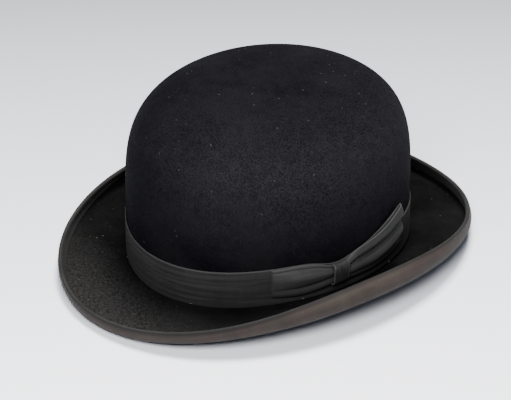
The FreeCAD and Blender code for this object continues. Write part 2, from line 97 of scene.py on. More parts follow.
def wander(angle, size, phase):
    """Hand-made unevenness: three slow waves round the hat, added up."""
    slow = np.sin(2 * angle + phase)
    middling = 0.7 * np.sin(5 * angle + 2.3 * phase)
    quick = 0.4 * np.sin(9 * angle + 4 * phase)
    return size * (slow + middling + quick) / 2.1


def outward(angle):
    """The oval's unit normal: its half lengths swapped times cos and sin, over their length."""
    across, along = HALF_LONG * np.cos(angle), HALF_WIDE * np.sin(angle)
    length = np.hypot(across, along)
    return across / length, along / length


def place(angle, out, up):
    """The oval's point at the angle, moved out along its normal and up."""
    across, along = outward(angle)
    x = HALF_WIDE * np.cos(angle) + out * across
    y = HALF_LONG * np.sin(angle) + out * along + OVAL_MIDDLE
    return np.stack(np.broadcast_arrays(x, y, up), axis=-1)


def brim_line(angle):
    """Run, slope, curl radius, curl end and lip of the brim's middle line, with a little unevenness."""
    run = between(angle, *RUN) + wander(angle, 0.00016, 0.6)
    slope = between(angle, *SLOPE)
    radius = between(angle, *CURL_RADIUS) * (1 + wander(angle, 0.02, 2.1))
    end = between(angle, *CURL_END) + wander(angle, np.radians(1.6), 1.3)
    return run, slope, radius, end, between(angle, *LIP)


def brim_length(angle):
    """Run plus curl radius times the angle curled through, plus lip."""
    run, slope, radius, end, lip = brim_line(angle)
    return run + radius * (end - slope) + lip


def on_brim(angle, along, lift):
    """A straight run, an arc and a straight lip in the section at each angle, lifted along the normal."""
    run, slope, radius, end = brim_line(angle)[:4]
    heading = np.clip(slope + (along - run) / radius, slope, end)
    straight = np.minimum(along, run)
    past_curl = np.maximum(along - run - radius * (end - slope), 0.0)
    out = straight * np.cos(slope) + radius * (np.sin(heading) - np.sin(slope)) + past_curl * np.cos(end)
    up = straight * np.sin(slope) + radius * (np.cos(slope) - np.cos(heading)) + past_curl * np.sin(end)
    return place(angle, out - lift * np.sin(heading), break_height(angle) + up + lift * np.cos(heading))


def round_edge(angle, turn, lift):
    """A half circle about the brim's edge, from its top side at turn 0 to its under side at pi."""
    heading = brim_line(angle)[3] - turn
    edge = on_brim(angle, brim_length(angle), 0.0)
    across, along = outward(angle)
    out = -lift * np.sin(heading)
    step = np.broadcast_arrays(out * across, out * along, lift * np.cos(heading))
    return edge + np.stack(step, axis=-1)


def on_crown(angle, turn, inset):
    """The oval shrunk by cos(turn), raised by sin(turn) to the power 2 / fullness of the crown's height."""
    rise = np.sin(np.maximum(turn, 1e-9)) ** (2 / DOME_FULLNESS)
    spread = np.cos(turn) * (1 + wander(angle, 0.0009, 0.4) * rise * np.cos(turn))
    x = (HALF_WIDE - inset) * spread * np.cos(angle)
    y = (HALF_LONG - inset) * spread * np.sin(angle) + OVAL_MIDDLE
    up = break_height(angle) * (1 - rise) + (CROWN_TOP - inset) * rise
    return np.stack(np.broadcast_arrays(x, y, up), axis=-1)


def round_corner(angle, share, lift):
    """A quarter circle joining the crown wall, at share 0, to the brim, at share 1."""
    slope = brim_line(angle)[1]
    out = BREAK_RADIUS - FELT_THICK / 2
    up = break_height(angle) + out * np.tan(slope) + BREAK_RADIUS / np.cos(slope)
    heading = np.pi + share * (np.pi / 2 + slope)
    reach = BREAK_RADIUS - lift
    return place(angle, out + reach * np.cos(heading), up + reach * np.sin(heading))


def felt_face(angle, lift):
    """One face of the felt from the top of the crown to the brim's edge, as rows of stations."""
    high = np.pi / 2 * (1 - np.linspace(0, 1, 54) ** 1.15 * 0.9)
    low = np.arcsin(np.linspace(0.55, 0.06, 16) ** (DOME_FULLNESS / 2))
    turn = np.concatenate([high[np.sin(high) ** (2 / DOME_FULLNESS) > 0.57], low])
    crown = on_crown(angle, turn[None, :], FELT_THICK / 2 - lift)
    corner = round_corner(angle, np.linspace(0, 1, 6)[None, :], lift)
    run, slope, radius, end, lip = brim_line(angle)
    start = (BREAK_RADIUS - FELT_THICK / 2) / np.cos(slope) + BREAK_RADIUS * np.tan(slope)
    flat = on_brim(angle, start + (run - start) * np.linspace(0, 1, 16)[None, 1:], lift)
    curl = on_brim(angle, run + radius * (end - slope) * np.linspace(0, 1, 20)[None, 1:], lift)
    edge = on_brim(angle, brim_length(angle) - lip * (1 - np.linspace(0, 1, 4)[None, 1:]), lift)
    return np.concatenate([crown, corner, flat, curl, edge], axis=1)


def lay_faces(columns, rows, around):
    """Corner indices of the quads of a grid, and the same on a grid with one more column for the seam."""
    i, j = np.meshgrid(np.arange(columns if around else columns - 1), np.arange(rows - 1), indexing="ij")
    after = (i + 1) % columns
    near = i * rows + j

    def quads(far):
        return np.stack([near, far * rows + j, far * rows + j + 1, near + 1], axis=-1).reshape(-1, 4)
    return quads(after), quads(i + 1)


def make_piece(name, points, around=True, along=None, across=None):
    """A smooth mesh from a grid of points, with a UV map in metres: along the piece and across it."""
    columns, rows = points.shape[:2]
    corners, unrolled = lay_faces(columns, rows, around)
    mesh = bpy.data.meshes.new(name)
    mesh.vertices.add(columns * rows)
    mesh.vertices.foreach_set("co", points.reshape(-1))
    mesh.loops.add(corners.size)
    mesh.loops.foreach_set("vertex_index", corners.reshape(-1).astype(np.int32))
    mesh.polygons.add(len(corners))
    mesh.polygons.foreach_set("loop_start", np.arange(0, corners.size, 4, dtype=np.int32))
    if along is not None:
        grid = np.stack(np.broadcast_arrays(along[:, None], across[None, :]), axis=-1).reshape(-1, 2)
        mesh.uv_layers.new(name="UVMap").data.foreach_set("uv", grid[unrolled.reshape(-1)].reshape(-1))
    mesh.update(calc_edges=True)
    mesh.polygons.foreach_set("use_smooth", np.ones(len(corners), dtype=bool))
    piece = bpy.data.objects.new(name, mesh)
    bpy.context.scene.collection.objects.link(piece)
    return piece


def close_poles(piece, distance=1e-7):
    """Merge the points that meet at a pole or a seam, and turn the faces outward."""
    work = bmesh.new()
    work.from_mesh(piece.data)
    bmesh.ops.remove_doubles(work, verts=work.verts, dist=distance)
    bmesh.ops.recalc_face_normals(work, faces=work.faces)
    work.to_mesh(piece.data)
    work.free()


def round_angles(count):
    """Even angles once round, without the last, which is the first again."""
    return np.linspace(0, 2 * np.pi, count, endpoint=False)


def length_round(angle):
    """Length along the oval from angle 0, added up over fine steps."""
    fine = np.linspace(-2 * np.pi, 4 * np.pi, 6001)
    speed = np.hypot(HALF_WIDE * np.sin(fine), HALF_LONG * np.cos(fine))
    total = np.concatenate([[0.0], np.cumsum((speed[1:] + speed[:-1]) / 2 * np.diff(fine))])
    total -= np.interp(0.0, fine, total)
    return np.interp(angle, fine, total)


def seam_lengths(count):
    """Lengths round the hat at each column and at the seam again."""
    return length_round(np.linspace(0, 2 * np.pi, count + 1))


def running_length(line):
    """Length along a line of points: the steps between them, added up from 0."""
    return np.concatenate([[0.0], np.cumsum(np.linalg.norm(np.diff(line, axis=0), axis=1))])


def new_material(name, roughness, gloss=0.5, sheen=0.0):
    """A material with one Principled shader, and its node tree."""
    material = bpy.data.materials.new(name)
    material.use_nodes = True
    shader = material.node_tree.nodes["Principled BSDF"]
    levels = {"Roughness": roughness, "Specular IOR Level": gloss, "Sheen Weight": sheen}
    for label, level in levels.items():
        shader.inputs[label].default_value = level
    return material, material.node_tree, shader


def add(tree, kind, settings=None, **inputs):
    """A node with its settings, each input a value or another node's output."""
    node = tree.nodes.new(kind)
    for key, value in (settings or {}).items():
        setattr(node, key, value)
    for key, value in inputs.items():
        numbered = key.startswith("in") and key[2:].isdigit()
        socket = node.inputs[int(key[2:]) if numbered else key.replace("_", " ")]
        if isinstance(value, bpy.types.NodeSocket):
            tree.links.new(value, socket)
        else:
            socket.default_value = value
    return node


def math(tree, operation, first, second=0.0):
    """One operation on two values or sockets."""
    return add(tree, "ShaderNodeMath", {"operation": operation}, in0=first, in1=second).outputs[0]


def times(tree, first, second):
    """The product of two values or sockets."""
    return math(tree, "MULTIPLY", first, second)


def object_place(tree):
    """The point in the piece's own frame, in metres, so a pattern keeps its size."""
    return add(tree, "ShaderNodeTexCoord").outputs["Object"]


def own_uv(tree):
    """The piece's UV map: metres along it and across it."""
    return add(tree, "ShaderNodeTexCoord").outputs["UV"]


def axis(tree, vector, label):
    """One of a vector's parts: X, Y or Z."""
    return add(tree, "ShaderNodeSeparateXYZ", None, Vector=vector).outputs[label]


def measured_along(tree, vector, direction):
    """How far a point lies along a direction."""
    return add(tree, "ShaderNodeVectorMath", {"operation": "DOT_PRODUCT"}, in0=vector,
               in1=direction).outputs["Value"]


def scaled(tree, vector, scale):
    """A vector times a scale on each axis, which stretches a pattern along the small ones."""
    return add(tree, "ShaderNodeMapping", None, Vector=vector, Scale=scale).outputs[0]


def noise(tree, vector, scale, detail, roughness):
    """Cloudy noise from 0 to 1; scale is in cells to the metre."""
    return add(tree, "ShaderNodeTexNoise", None, Vector=vector, Scale=scale, Detail=detail,
               Roughness=roughness).outputs["Fac"]


def remap(tree, value, low, high, new_low=0.0, new_high=1.0):
    """A value from low to high becomes one from new_low to new_high, clamped."""
    return add(tree, "ShaderNodeMapRange", None, Value=value, From_Min=low, From_Max=high,
               To_Min=new_low, To_Max=new_high).outputs["Result"]


def blend(tree, factor, first, second):
    """The first colour at a factor of 0, the second at 1."""
    node = add(tree, "ShaderNodeMix", {"data_type": "RGBA"}, in0=factor, in6=first, in7=second)
    return node.outputs[2]


def paint(tree, shader, colour):
    """Joins a colour to the shader's base colour."""
    tree.links.new(colour, shader.inputs["Base Color"])


def raise_grain(tree, shader, height, strength, distance):
    """Bump from a height mask; distance is its depth in metres."""
    bump = add(tree, "ShaderNodeBump", None, Height=height, Strength=strength, Distance=distance)
    tree.links.new(bump.outputs["Normal"], shader.inputs["Normal"])


def dress(piece, material, node):
    """Gives a piece its material, hides the CAD node it replaces and hangs it on the root body."""
    piece.data.materials.append(material)
    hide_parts(node)
    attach(piece, "root")


def new_group(name, inputs, outputs):
    """A shader node group with named float or vector inputs and float outputs."""
    group = bpy.data.node_groups.new(name, "ShaderNodeTree")
    for label, kind in inputs:
        group.interface.new_socket(label, in_out="INPUT", socket_type=kind)
    for label in outputs:
        group.interface.new_socket(label, in_out="OUTPUT", socket_type="NodeSocketFloat")
    return group, group.nodes.new("NodeGroupInput").outputs, group.nodes.new("NodeGroupOutput").inputs


def use_group(tree, group, **inputs):
    """A node that holds a group, each input a value or another node's output."""
    node = tree.nodes.new("ShaderNodeGroup")
    node.node_tree = group
    for key, value in inputs.items():
        if isinstance(value, bpy.types.NodeSocket):
            tree.links.new(value, node.inputs[key])
        else:
            node.inputs[key].default_value = value
    return node.outputs


def lint_group():
    """Tiny pale specks: round dots at the middle of a few cells of a Voronoi pattern."""
    group, given, out = new_group("lint", [("Vector", "NodeSocketVector"), ("Cells", "NodeSocketFloat"),
                                           ("Share", "NodeSocketFloat")], ["Mask"])
    cells = add(group, "ShaderNodeTexVoronoi", None, Vector=given["Vector"], Scale=given["Cells"])
    dot = remap(group, cells.outputs["Distance"], 0.14, 0.06)
    pick = add(group, "ShaderNodeSeparateColor", None, Color=cells.outputs["Color"])
    chosen = math(group, "LESS_THAN", pick.outputs[0], given["Share"])
    faint = times(group, chosen, pick.outputs[1])
    group.links.new(times(group, dot, faint), out["Mask"])
    return group


LINT = lint_group()


def felt_material():
    """Black wool felt: a short dull bluish nap, fuzzier on the brim, with specks of lint; the crown carries
    painted light and shade: a paler belt at mid-height, darker near the band, at the top and on the side
    left of the camera.
    """
    material, tree, shader = new_material("black_felt", 0.8, 0.015, 0.003)
    place_in = object_place(tree)
    brim = remap(tree, axis(tree, own_uv(tree), "Y"), 0.178, 0.186)
    grain = noise(tree, place_in, 1000.0, 3.0, 0.7)
    fleck = noise(tree, place_in, 560.0, 4.0, 0.75)
    cloud = noise(tree, place_in, 26.0, 3.0, 0.6)
    # Painted light and shade: the crown is painted paler at mid-height, with painted shade low near the band
    # and at the top.
    height = axis(tree, place_in, "Z")
    painted_height_shade = times(tree, remap(tree, height, 0.040, 0.095),
                         remap(tree, height, 0.142, 0.104, 0.06, 1.0))
    # Painted shade on the side left of the camera: (0.61, 0.79) points to the camera's right.
    towards_camera_right = measured_along(tree, place_in, (0.61, 0.79, 0.0))
    painted_light_mask = times(tree, painted_height_shade, remap(tree, towards_camera_right, -0.090, -0.030, 0.3, 1.0))
    mottle = noise(tree, place_in, 150.0, 4.0, 0.7)
    fuzz = math(tree, "ADD", grain, times(tree, math(tree, "SUBTRACT", mottle, 0.5), 0.3))
    crown_dark = blend(tree, painted_light_mask, (0.0007, 0.0007, 0.0011, 1), (0.0022, 0.0021, 0.0029, 1))
    crown_light = blend(tree, painted_light_mask, (0.0020, 0.0018, 0.0029, 1), (0.0138, 0.0129, 0.0153, 1))
    crown_colour = blend(tree, remap(tree, fuzz, 0.36, 0.70), crown_dark, crown_light)
    tufts = math(tree, "ADD", times(tree, fleck, 0.7), times(tree, grain, 0.3))
    # The brim's colour is paler towards its front.
    paler_to_front = remap(tree, axis(tree, place_in, "Y"), -0.092, -0.138)
    brim_light = blend(tree, paler_to_front, (0.0030, 0.0030, 0.0029, 1), (0.0270, 0.0265, 0.0259, 1))
    brim_colour = blend(tree, remap(tree, tufts, 0.36, 0.76), (0.0007, 0.0007, 0.0007, 1), brim_light)
    colour = blend(tree, brim, crown_colour, brim_colour)
    worn = blend(tree, remap(tree, cloud, 0.42, 0.72, 0.0, 0.34), colour, (0.0082, 0.0078, 0.0082, 1))
    specks = use_group(tree, LINT, Vector=place_in, Cells=200.0, Share=0.34)["Mask"]
    dusty = blend(tree, times(tree, specks, 0.7), worn, (0.042, 0.042, 0.045, 1))
    paint(tree, shader, dusty)
    nap = math(tree, "ADD", times(tree, grain, 0.8), times(tree, fleck, 0.9))
    raise_grain(tree, shader, nap, 0.8, 0.0006)
    shader.inputs["Sheen Roughness"].default_value = 0.5
    shader.inputs["Sheen Tint"].default_value = (0.78, 0.8, 1.0, 1)
    return material


def felt_body():
    """Outer face, a rounded edge and inner face, joined top to top into one closed shell."""
    angle = round_angles(312)[:, None]
    outer = felt_face(angle, FELT_THICK / 2)
    edge = round_edge(angle, np.pi * np.linspace(0, 1, 6)[None, 1:-1], FELT_THICK / 2)
    inner = felt_face(angle, -FELT_THICK / 2)[:, ::-1]
    points = np.concatenate([outer, edge, inner], axis=1)
    across = running_length(points[0])
    piece = make_piece("felt_crown_and_brim", points, along=seam_lengths(len(angle)), across=across)
    close_poles(piece)
    dress(piece, felt_material(), "felt_body")


felt_body()


# Brim binding.  A grosgrain ribbon folded over the brim's edge and sewn down all round.
# Its outer face has faded to brown, its inner edge wanders a little, and its fold is rubbed.
BINDING_INSIDE, BINDING_OUTSIDE_LEG = 0.0084, 0.0120
BINDING_MIDDLE = FELT_THICK / 2 + RIBBON_GAP + RIBBON_THICK / 2
BINDING_WIDE = BINDING_INSIDE + np.pi * BINDING_MIDDLE + BINDING_OUTSIDE_LEG
RIB_PITCH = 0.00075


def grosgrain_group():
    """Ribs across a ribbon as a sine along it, with uneven yarn, and its two selvedges as a mask."""
    inputs = [("UV", "NodeSocketVector"), ("Width", "NodeSocketFloat"), ("Pitch", "NodeSocketFloat")]
    group, given, out = new_group("grosgrain", inputs, ["Height", "Yarn", "Selvedge"])
    part = add(group, "ShaderNodeSeparateXYZ", None, Vector=given["UV"])
    turns = math(group, "DIVIDE", part.outputs["X"], given["Pitch"])
    ribs = math(group, "SINE", times(group, turns, 2 * np.pi))
    across_yarn = scaled(group, given["UV"], (1.0, 0.09, 1.0))
    along_wear = scaled(group, given["UV"], (0.035, 1.0, 1.0))
    yarn = math(group, "ADD", times(group, noise(group, across_yarn, 620.0, 3.0, 0.6), 0.15),
                times(group, noise(group, along_wear, 420.0, 4.0, 0.65), 0.85))
    other_side = math(group, "SUBTRACT", given["Width"], part.outputs["Y"])
    edge = math(group, "MINIMUM", part.outputs["Y"], other_side)
    group.links.new(times(group, ribs, remap(group, yarn, 0.2, 0.8, 0.5, 1.0)), out["Height"])
    group.links.new(yarn, out["Yarn"])
    group.links.new(remap(group, edge, 0.0011, 0.0004), out["Selvedge"])
    return group


GROSGRAIN = grosgrain_group()


def ribbon_nodes(tree, shader, width, pitch, bump):
    """Weave on a ribbon's own UV map: joins the bump and gives back the yarn and selvedge masks."""
    flat = own_uv(tree)
    weave = use_group(tree, GROSGRAIN, UV=flat, Width=width, Pitch=pitch)
    creases = noise(tree, flat, 130.0, 3.0, 0.55)
    height = math(tree, "ADD", weave["Height"], times(tree, creases, 1.6))
    raised = math(tree, "ADD", height, times(tree, weave["Selvedge"], 1.2))
    raise_grain(tree, shader, raised, bump, 0.00012)
    return flat, weave["Yarn"], weave["Selvedge"]


def binding_material():
    """Black grosgrain inside the fold, faded outside it to brown with rosy blotches, rubbed on the fold."""
    material, tree, shader = new_material("faded_binding", 0.72, 0.12, 0.02)
    flat, yarn, selvedge = ribbon_nodes(tree, shader, BINDING_WIDE, RIB_PITCH, 0.5)
    place_in = object_place(tree)
    across = axis(tree, flat, "Y")
    fold = BINDING_INSIDE + np.pi * BINDING_MIDDLE / 2
    outer = remap(tree, across, fold + 0.0012, fold + 0.0040)
    blotch = noise(tree, place_in, 38.0, 3.0, 0.6)
    tint = noise(tree, place_in, 90.0, 2.0, 0.5)
    brown = blend(tree, remap(tree, blotch, 0.3, 0.7), (0.0115, 0.0082, 0.0070, 1),
                  (0.0225, 0.0185, 0.0150, 1))
    rosy = blend(tree, remap(tree, tint, 0.45, 0.65, 0.0, 0.7), brown, (0.0210, 0.0128, 0.0126, 1))
    colour = blend(tree, outer, (0.0040, 0.0039, 0.0040, 1), rosy)
    rub = times(tree, remap(tree, across, fold - 0.0016, fold - 0.0004),
                remap(tree, across, fold + 0.0016, fold + 0.0004))
    worn = times(tree, rub, remap(tree, blotch, 0.35, 0.6, 0.2, 0.7))
    faded = blend(tree, worn, colour, (0.0150, 0.0145, 0.0140, 1))
    pale = blend(tree, outer, (0.0072, 0.0070, 0.0070, 1), (0.0235, 0.0200, 0.0170, 1))
    shaded = blend(tree, remap(tree, yarn, 0.42, 0.62, 0.0, 0.5), faded, pale)
    sewn = blend(tree, times(tree, selvedge, 0.6), shaded, (0.0030, 0.0028, 0.0026, 1))
    specks = use_group(tree, LINT, Vector=place_in, Cells=230.0, Share=0.2)["Mask"]
    paint(tree, shader, blend(tree, times(tree, specks, 0.5), sewn, (0.09, 0.088, 0.083, 1)))
    return material


def ribbon_thickness(piece, thick=RIBBON_THICK, even=True):
    """Both faces and the rims of a ribbon from its middle surface; tight folds take a plain offset."""
    solid = piece.modifiers.new("thickness", "SOLIDIFY")
    solid.thickness = thick
    solid.offset = 0.0
    solid.use_even_offset = even


def folded_over(angle, along, lift):
    """Up the top side of the brim, half round its edge and back down the under side."""
    reach = BINDING_MIDDLE + lift
    turn = np.clip((along - BINDING_INSIDE) / BINDING_MIDDLE, 0, np.pi)
    top_in = np.maximum(BINDING_INSIDE - along, 0.0)
    under_in = np.maximum(along - BINDING_INSIDE - np.pi * BINDING_MIDDLE, 0.0)
    top = on_brim(angle, brim_length(angle) - top_in, reach)
    under = on_brim(angle, brim_length(angle) - under_in, -reach)
    fold = round_edge(angle, turn, reach)
    return np.where((top_in > 0)[..., None], top, np.where((under_in > 0)[..., None], under, fold))


def brim_binding():
    """A strip unrolled from its inside edge over the fold to its outside edge, both edges wandering."""
    columns = 420
    angle = round_angles(columns)[:, None]
    top = np.linspace(0, BINDING_INSIDE, 9)[:-1]
    fold = BINDING_INSIDE + np.pi * BINDING_MIDDLE * np.linspace(0, 1, 9)
    under = fold[-1] + np.linspace(0, BINDING_OUTSIDE_LEG, 15)[1:]
    along = np.concatenate([top, fold, under])[None, :]
    uneven = wander(angle, 0.0005, 3.0) + wander(3 * angle, 0.00022, 1.1)
    inner_share = np.clip(1 - along / BINDING_INSIDE, 0, 1)
    outer_share = np.clip((along - fold[-1]) / BINDING_OUTSIDE_LEG, 0, 1)
    pucker = 0.00007 * np.sin(61 * angle + 3 * np.sin(7 * angle)) * (0.3 + inner_share)
    points = folded_over(angle, along - uneven * inner_share + 0.6 * uneven * outer_share, pucker)
    piece = make_piece("brim_binding_ribbon", points, along=seam_lengths(columns) * 1.4, across=along[0])
    ribbon_thickness(piece)
    dress(piece, binding_material(), "brim_binding")


brim_binding()


# Hat band.  A black grosgrain ribbon pulled round the foot of the crown and sewn at its lower edge.
# Its ends meet under the bow, and its edges are thickened selvedges.
BAND_WIDE = 0.0274
BAND_FOOT = FELT_THICK / 2 + 0.0013
KNOT_FORWARD = 0.0132
BAND_PINCH, PINCH_REACH = 0.0056, 0.0160


def band_wide(angle):
    """The ribbon's width, less a smooth dip of its top edge where the knot draws it down."""
    from_knot = 2 * HALF_LONG * np.sin((angle + KNOT_FORWARD / HALF_LONG) / 2)
    return BAND_WIDE - BAND_PINCH * np.exp(-(from_knot / PINCH_REACH) ** 2)


def black_ribbon_material(name, width, pale=1.0, roughness=0.66, gloss=0.03):
    """Black grosgrain: a dull grey bloom on the ribs and slightly paler selvedges; pale scales its colours
    for each piece, painted light and shade that makes pieces of one ribbon lighter or darker.
    """
    material, tree, shader = new_material(name, roughness, gloss, 0.01)
    yarn, selvedge = ribbon_nodes(tree, shader, width, RIB_PITCH, 0.3)[1:]
    place_in = object_place(tree)
    cloud = noise(tree, place_in, 45.0, 3.0, 0.6)
    dark = (0.0092 * pale, 0.0092 * pale, 0.0092 * pale, 1)
    light = (0.0184 * pale, 0.0184 * pale, 0.0182 * pale, 1)
    colour = blend(tree, remap(tree, yarn, 0.4, 0.62), dark, light)
    rubbed = blend(tree, remap(tree, cloud, 0.4, 0.8, 0.0, 0.5), colour, light)
    edged = blend(tree, times(tree, selvedge, 0.6), rubbed, (0.0400, 0.0400, 0.0398, 1))
    specks = use_group(tree, LINT, Vector=place_in, Cells=210.0, Share=0.16)["Mask"]
    paint(tree, shader, blend(tree, times(tree, specks, 0.4), edged, (0.05, 0.05, 0.05, 1)))
    return material


def hat_band():
    """A strip standing off the crown, pulled in a little at its top edge and loose at its foot."""
    columns = 480
    angle = round_angles(columns)[:, None]
    share = np.linspace(0, 1, 15)[None, :]
    up = share * band_wide(angle)
    loose = 0.00016 * (1 - share) * (1 + wander(angle, 1.0, 0.9))
    bulge = 0.0001 * np.sin(np.pi * share)
    sag = wander(angle, 0.00018, 1.7)
    out = RIBBON_GAP + RIBBON_THICK / 2 + loose + bulge
    points = place(angle, out, break_height(angle) + BAND_FOOT + up + sag)
    piece = make_piece("hat_band_ribbon", points, along=seam_lengths(columns), across=share[0] * BAND_WIDE)
    ribbon_thickness(piece)
    dress(piece, black_ribbon_material("band_grosgrain", BAND_WIDE), "hat_band")


hat_band()


# Bow.  The same ribbon folded into pleats, pinched and wrapped with a short knot on the wearer's left.
# The front loop lies flat on the band, and the rear part fans up past the band's top edge.
MM = 0.001
KNOT_SIDE = 0.0046
LOOP_LONG, FAN_LONG = 0.0405, 0.056
KNOT_UP, KNOT_HALF_TALL = 0.0160, 0.0078
KNOT_HALF_WIDE, KNOT_OUT, KNOT_HALF_DEEP = 0.0054, 0.0036, 0.0032
BOW_RIBBON = 0.00038

# pleats from the top selvedge to the lower one: height above the band's foot and distance out, in mm
LOOP_AT_KNOT = [
    (21.2, 1.6), (20.5, 2.5), (19.9, 2.2), (19.2, 3.1), (17.6, 3.9), (16.0, 3.7), (15.0, 3.1),
    (15.3, 2.3), (15.8, 1.9), (14.6, 1.7), (12.6, 2.7), (10.0, 2.9), (8.0, 2.0), (7.4, 1.0)]
LOOP_IN_MIDDLE = [
    (27.4, 0.8), (25.9, 1.6), (25.0, 1.3), (23.2, 2.9), (19.0, 4.4), (15.2, 4.1), (13.2, 3.3),
    (13.7, 2.3), (14.6, 1.8), (13.6, 1.6), (11.2, 2.5), (8.4, 2.8), (5.8, 1.9), (5.2, 0.9)]
LOOP_AT_FOLD = [
    (27.0, 0.7), (25.8, 1.2), (25.0, 1.1), (22.8, 1.9), (18.6, 2.5), (14.4, 2.4), (12.4, 2.0),
    (12.9, 1.5), (13.7, 1.3), (12.9, 1.2), (11.0, 1.7), (8.8, 1.8), (7.0, 1.3), (6.4, 0.7)]
FAN_AT_KNOT = [
    (21.8, 1.4), (21.0, 2.6), (19.6, 3.3), (18.2, 3.1), (17.5, 2.3), (18.1, 1.8), (17.0, 2.2),
    (15.4, 3.6), (13.4, 4.0), (12.0, 3.3), (12.6, 2.3), (11.8, 2.2), (10.2, 3.1), (8.6, 2.6), (7.6, 1.2)]
FAN_IN_MIDDLE = [
    (29.2, 1.0), (27.8, 2.2), (25.6, 3.0), (23.2, 2.5), (22.0, 1.6), (22.7, 1.1), (21.4, 1.6),
    (18.8, 4.0), (15.8, 4.9), (13.4, 4.0), (13.9, 2.7), (12.8, 2.4), (10.6, 3.0), (8.0, 2.4), (6.4, 1.0)]
FAN_AT_END = [
    (42.6, 3.0), (40.8, 3.9), (38.2, 4.6), (35.4, 4.5), (33.2, 3.7), (32.2, 3.4), (30.6, 3.9),
    (28.0, 4.9), (25.2, 5.3), (22.8, 4.8), (21.4, 4.0), (20.2, 3.8), (18.8, 4.4), (17.2, 4.2),
    (16.2, 2.8)]


def through(points, count):
    """A smooth line through points: each new point is a cubic blend of the four points nearest to it."""
    last = len(points) - 1
    where = np.linspace(0, last, count)
    start = np.minimum(where.astype(int), last - 1)
    part = (where - start).reshape(-1, *[1] * (points.ndim - 1))
    padded = np.concatenate([2 * points[:1] - points[1:2], points, 2 * points[-1:] - points[-2:-1]])
    a, b, c, d = (padded[start + step] for step in range(4))
    cubic = (c - a) * part + (2 * a - 5 * b + 4 * c - d) * part ** 2 + (3 * b - a - 3 * c + d) * part ** 3
    return b + cubic / 2


def on_band(along, up, out):
    """A point over the band: its length from the knot towards the back, its height and distance out."""
    fine = np.linspace(-np.pi / 2, np.pi, 2000)
    angle = np.interp(along - KNOT_FORWARD, length_round(fine), fine)
    return place(angle, BAND_FACE + out, break_height(angle) + BAND_FOOT + up)


def pleated(rows, across_count, along_count):
    """A surface through a net: rows of (along, up, out) along the piece, columns across its pleats."""
    net = np.array(rows)
    fine = through(np.swapaxes(through(net, along_count), 0, 1), across_count)
    return np.swapaxes(fine, 0, 1)


def bow_row(along, pleats, squeeze=1.0, lift=0.0):
    """One row of the net; `along` is the length from the knot at the top edge and at the low edge."""
    up, out = np.array(pleats).T * MM
    share = np.linspace(0, 1, len(up))
    return np.stack([along[0] + (along[1] - along[0]) * share, up, 1.25 * out * squeeze + lift], axis=-1)


def mixed(first, second, share):
    """Pleats a share of the way from the first to the second."""
    return [(a[0] + (b[0] - a[0]) * share, a[1] + (b[1] - a[1]) * share) for a, b in zip(first, second)]


def finish_bow_piece(name, net, node, along_count, across_count, pale):
    """A ribbon through a net of rows, laid over the band, with its weave along its pleats."""
    fine = pleated(net, across_count, along_count)
    points = on_band(fine[..., 0], fine[..., 1], fine[..., 2])
    along = running_length(points[:, across_count // 2])
    across = running_length(points[along_count // 4])
    piece = make_piece(name, points, around=False, along=along, across=across)
    ribbon_thickness(piece, BOW_RIBBON, even=False)
    material = black_ribbon_material(name + "_grosgrain", float(across[-1]), pale, 0.55, 0.11)
    dress(piece, material, node)
    return piece


def front_loop():
    """Out from the knot along the pleats, round a fold at the front and flat back under itself."""
    def reach(share):
        return (-KNOT_SIDE - LOOP_LONG * share,) * 2
    net = [bow_row(reach(-0.03), LOOP_AT_KNOT, 0.85),
           bow_row(reach(0.08), mixed(LOOP_AT_KNOT, LOOP_IN_MIDDLE, 0.25)),
           bow_row(reach(0.28), mixed(LOOP_AT_KNOT, LOOP_IN_MIDDLE, 0.72)),
           bow_row(reach(0.55), LOOP_IN_MIDDLE),
           bow_row(reach(0.82), mixed(LOOP_IN_MIDDLE, LOOP_AT_FOLD, 0.6)),
           bow_row(reach(0.97), LOOP_AT_FOLD),
           bow_row(reach(1.0), LOOP_AT_FOLD, 0.62),
           bow_row(reach(0.97), LOOP_AT_FOLD, 0.22, 0.0003),
           bow_row(reach(0.55), mixed(LOOP_IN_MIDDLE, LOOP_AT_FOLD, 0.8), 0.12, 0.0003),
           bow_row(reach(0.0), LOOP_AT_KNOT, 0.12, 0.0003)]
    # 1.12 paints the front loop lighter than the band: painted light.
    piece = finish_bow_piece("bow_front_loop_ribbon", net, "bow_front_loop", 90, 92, 1.12)


def rear_fan():
    """Out from the knot along spreading pleats, to a slanting fold that stands off the crown."""
    def reach(top, low):
        return KNOT_SIDE + FAN_LONG * top, KNOT_SIDE + FAN_LONG * low
    net = [bow_row(reach(-0.03, -0.03), FAN_AT_KNOT, 0.85),
           bow_row(reach(0.05, 0.05), mixed(FAN_AT_KNOT, FAN_IN_MIDDLE, 0.15)),
           bow_row(reach(0.2, 0.2), mixed(FAN_AT_KNOT, FAN_IN_MIDDLE, 0.7)),
           bow_row(reach(0.42, 0.43), FAN_IN_MIDDLE),
           bow_row(reach(0.64, 0.66), mixed(FAN_IN_MIDDLE, FAN_AT_END, 0.26)),
           bow_row(reach(0.81, 0.81), mixed(FAN_IN_MIDDLE, FAN_AT_END, 0.6)),
           bow_row(reach(0.95, 0.91), FAN_AT_END),
           bow_row(reach(0.962, 0.92), FAN_AT_END, 0.8),
           bow_row(reach(0.945, 0.9), FAN_AT_END, 0.6),
           bow_row(reach(0.5, 0.5), mixed(FAN_IN_MIDDLE, FAN_AT_END, 0.15), 0.16, 0.0003),
           bow_row(reach(0.0, 0.0), FAN_AT_KNOT, 0.12, 0.0003)]
    # 0.84 paints the rear fan darker than the band: painted shade.
    piece = finish_bow_piece("bow_rear_fan_ribbon", net, "bow_rear_fan", 110, 110, 0.84)


